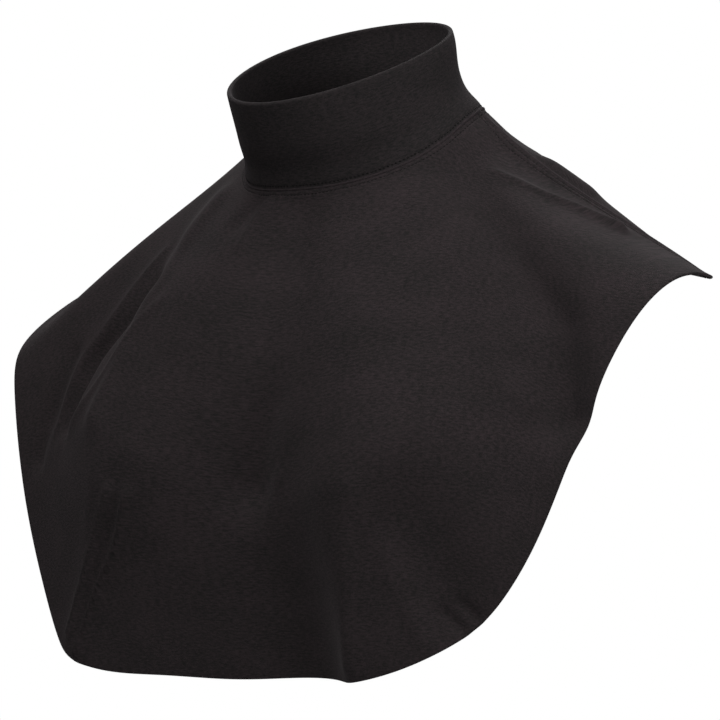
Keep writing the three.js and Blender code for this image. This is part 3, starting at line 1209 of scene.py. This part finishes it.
@dataclass
class Studio:
    """The pale floor, the soft lights and the camera at the photograph's angle."""

    azimuth: float = 40.0
    elevation: float = 1.5
    distance: float = 2.4
    image: float = 720.0
    pixels_per_metre: float = 1850.0
    aim: tuple[float, float, float] = (0.0, 0.0, -0.115)
    aside: float = 1.08 * MM  # the picture's centre lies this far left of the aim
    floor_drop: float = 1.1
    floor_radius: float = 1.5
    floor_sides: int = 96
    sensor: float = 36.0  # mm
    clip: tuple[float, float] = (0.05, 60.0)
    room_light: float = 0.0
    boxes: tuple[Softbox, ...] = (
        Softbox("top softbox", -5, 70, 9.5),
        Softbox("front softbox", -5, 45, 9.5),
        Softbox("left front softbox", 40, 45, 7.5),
        Softbox("left softbox", 76, 2, 9.5),
        Softbox("left back softbox", 120, 10, 6),
        Softbox("right back softbox", -140, 45, 13),
    )

    def camera(self) -> None:
        """Sets the camera, whose lens gives the photograph's pixels for each metre at the aim."""
        toward = bearing(self.azimuth, self.elevation)
        right = bearing(self.azimuth + 90, 0)
        lens = bpy.data.cameras.new("camera")
        lens.sensor_width = self.sensor
        lens.lens = self.sensor * self.pixels_per_metre * self.distance / self.image
        lens.clip_start, lens.clip_end = self.clip
        eye = bpy.data.objects.new("camera", lens)
        eye.location = Vector(self.aim) - right * self.aside + toward * self.distance
        eye.rotation_euler = (-toward).to_track_quat("-Z", "Y").to_euler()
        bpy.context.scene.collection.objects.link(eye)
        bpy.context.scene.camera = eye

    def floor(self) -> None:
        """Lays the floor, a round sheet of paper below the part."""
        turn = np.linspace(0, math.tau, self.floor_sides, endpoint=False)
        rim = np.stack([np.cos(turn), np.sin(turn), 0 * turn], -1) * self.floor_radius
        rim[:, 2] = -self.floor_drop
        paper = make_piece("floor", rim, [list(range(len(rim)))], None, BackdropPaper().material())

    def room(self) -> None:
        """Fills the room with white: bright behind the part, softer as light on it."""
        world = bpy.data.worlds.new("white room")
        world.use_nodes = True
        tree = world.node_tree
        tree.nodes.clear()
        ray = add_node(tree, "LightPath")
        strength = add_node(
            tree, "MapRange", {},
            {"Value": ray.outputs["Is Camera Ray"], "To Min": self.room_light, "To Max": 1.0},
        )
        white = add_node(
            tree, "Background", {}, {"Color": (1, 1, 1, 1), "Strength": strength.outputs["Result"]}
        )
        add_node(tree, "OutputWorld", {}, {"Surface": white.outputs["Background"]})
        bpy.context.scene.world = world

    def build(self) -> None:
        """Sets up camera, floor, room and lights."""
        self.camera()
        self.floor()
        self.room()
        for box in self.boxes:
            box.build(Vector(self.aim))
        scene = bpy.context.scene
        scene.view_settings.view_transform = "Standard"
        scene.view_settings.look = "None"


def row_number(distance: float, bib: Bib) -> int:
    """Gives the grid line of a bib that keeps that distance from its seam."""
    return round((distance - bib.tuck) / bib.fan_step)


def main() -> None:
    """Builds the dickey's pieces in order, then the studio."""
    form = BibForm()
    ring = len(form.rows())
    left, right = form.seam_row, ring - form.seam_row
    knit = CottonInterlock("cotton interlock, bib").material()
    # Painted shade: the band's copy of the knit is a touch darker and less red than the bib's (222121 and
    # 40383a against 232121 and 42383b), for the band's darker, more neutral look.
    band_cloth_painted_shade = CottonInterlock("cotton interlock, folded band, painted shade", ground="222121", fleck="40383a")
    band_knit = band_cloth_painted_shade.material()
    # Painted highlight: the seam ridges' knit is lighter than the bib's (ground 282526 against 232121),
    # for the light line that the ridges catch along the seams.
    seam_knit = CottonInterlock("cotton interlock, seam ridge, painted highlight", ground="282526").material()
    thread = SpunThread().material()
    sewn = Stitching()

    topstitched = SeamRelief(
        allowance=0.55 * MM, reach=5.4 * MM, rows=(2.1 * MM, 4.5 * MM), groove=0.7 * MM
    )
    front = Bib(
        form, "front_bib", "front_panel", right - ring, left, flat=(0.56, 0.36), area=0.125,
        folds=FOLDS, creases=FRONT_CREASES, shoulder_relief=topstitched,
    )
    back = Bib(
        form, "back_bib", "back_panel", left, right, flat=(0.5, 0.26), area=0.054,
        folds=(), creases=BACK_CREASES, columns=280, rows=100,
    )
    bibs = [front.build(knit), back.build(knit)]

    band = NeckBand(form)
    collar = band.build(band_knit)

    place = np.linspace(0, ring, NECK_POINTS, endpoint=False)
    neck, leaving, _, _ = form.controls(place)
    run = unit(np.roll(neck, -1, axis=0) - np.roll(neck, 1, axis=0))
    neck_out = unit(np.cross(unit(leaving - neck), run))
    neck_ridge = Ridge(
        "neck_ridge", "neck_seam", "seam_knit", half_wide=1.0 * MM, half_high=1.1 * MM,
        closed=True, stand=0.7 * MM,
    )
    neck_piece = neck_ridge.build(neck, neck_out, seam_knit)

    shoulder_pieces = []
    for side, column, where in (("left", -1, left), ("right", 0, right - ring)):
        share = np.linspace(0, 1, SHOULDER_POINTS)
        along = form.point(np.full(share.shape, where), share)
        rows, out = np.linspace(0, 1, front.rows), front.normals[column]
        outward = np.stack([np.interp(share, rows, out[:, k]) for k in range(3)], -1)
        shoulder = Ridge(
            f"{side}_shoulder_ridge", f"{side}_shoulder_seam", "seam_knit",
            half_wide=1.1 * MM, half_high=1.25 * MM, closed=False, stand=0.4 * MM,
        )
        shoulder_pieces.append((shoulder, shoulder.build(along, outward, seam_knit)))

    lower = row_number(front.neck_relief.rows[0], front)
    neck_rows = [front.row(lower), back.row(lower), band.row_at(band.relief.rows[0])]
    neck_stitches = sewn.build("neck_stitches", neck_rows, thread)
    shoulder_rows = []
    for distance in topstitched.rows:
        number = row_number(distance, front)
        shoulder_rows += [front.column(number), front.column(-1 - number)]
    shoulder_stitches = sewn.build("shoulder_stitches", shoulder_rows, thread)

    neck_ridge.dress(neck_piece)
    for shoulder, piece in shoulder_pieces:
        shoulder.dress(piece)
    register(neck_stitches, "seam_knit")
    register(shoulder_stitches, "seam_knit")
    front.dress(bibs[0], ["shoulder_stitches", "neck_stitches"])
    back.dress(bibs[1], [])
    band.dress(collar, [])
    Studio().build()


if __name__ == "__main__":
    logging.basicConfig(level=logging.INFO, format="%(name)s: %(message)s")
    main()
